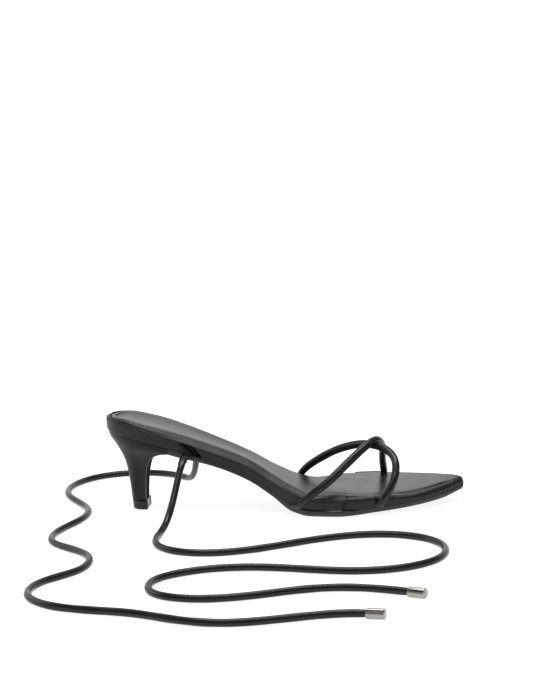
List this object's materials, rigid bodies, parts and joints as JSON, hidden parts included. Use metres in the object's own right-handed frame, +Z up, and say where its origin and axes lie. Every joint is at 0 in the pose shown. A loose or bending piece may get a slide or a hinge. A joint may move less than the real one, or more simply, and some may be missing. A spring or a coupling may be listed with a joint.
{
  "type": "strappy kitten heel",
  "caption": "Pointed lace-up sandal on a low slim heel: wrapped footbed, crossed rolled straps over the forefoot and long ankle ties with metal end caps, lying loose.",
  "frame": {"origin": "on the floor, under the middle of the shoe's length and width without the loose ties", "axes": "+X towards the toe, +Y towards the inner (medial) side, +Z up"},
  "size_m": [0.295, 0.3773, 0.0682],
  "materials": {
    "wrapped_leather": "black smooth synthetic leather, satin",
    "sock_leather": "black lining leather, soft satin",
    "rolled_leather": "black rolled synthetic leather, fine grain, satin",
    "outsole_black": "black moulded, matte",
    "heel_black": "black covered, semi-gloss",
    "tip_black": "black hard top piece, gloss",
    "nickel": "polished nickel"
  },
  "bodies": {
    "root": {"outsole": "outsole_black", "footbed": "wrapped_leather", "sock": "sock_leather", "heel": "heel_black", "heel_tip": "tip_black", "upper_straps": "rolled_leather", "tie_lateral": "rolled_leather", "tie_medial": "rolled_leather", "tie_tip_lateral": "nickel", "tie_tip_medial": "nickel"}
  },
  "joints": []
}
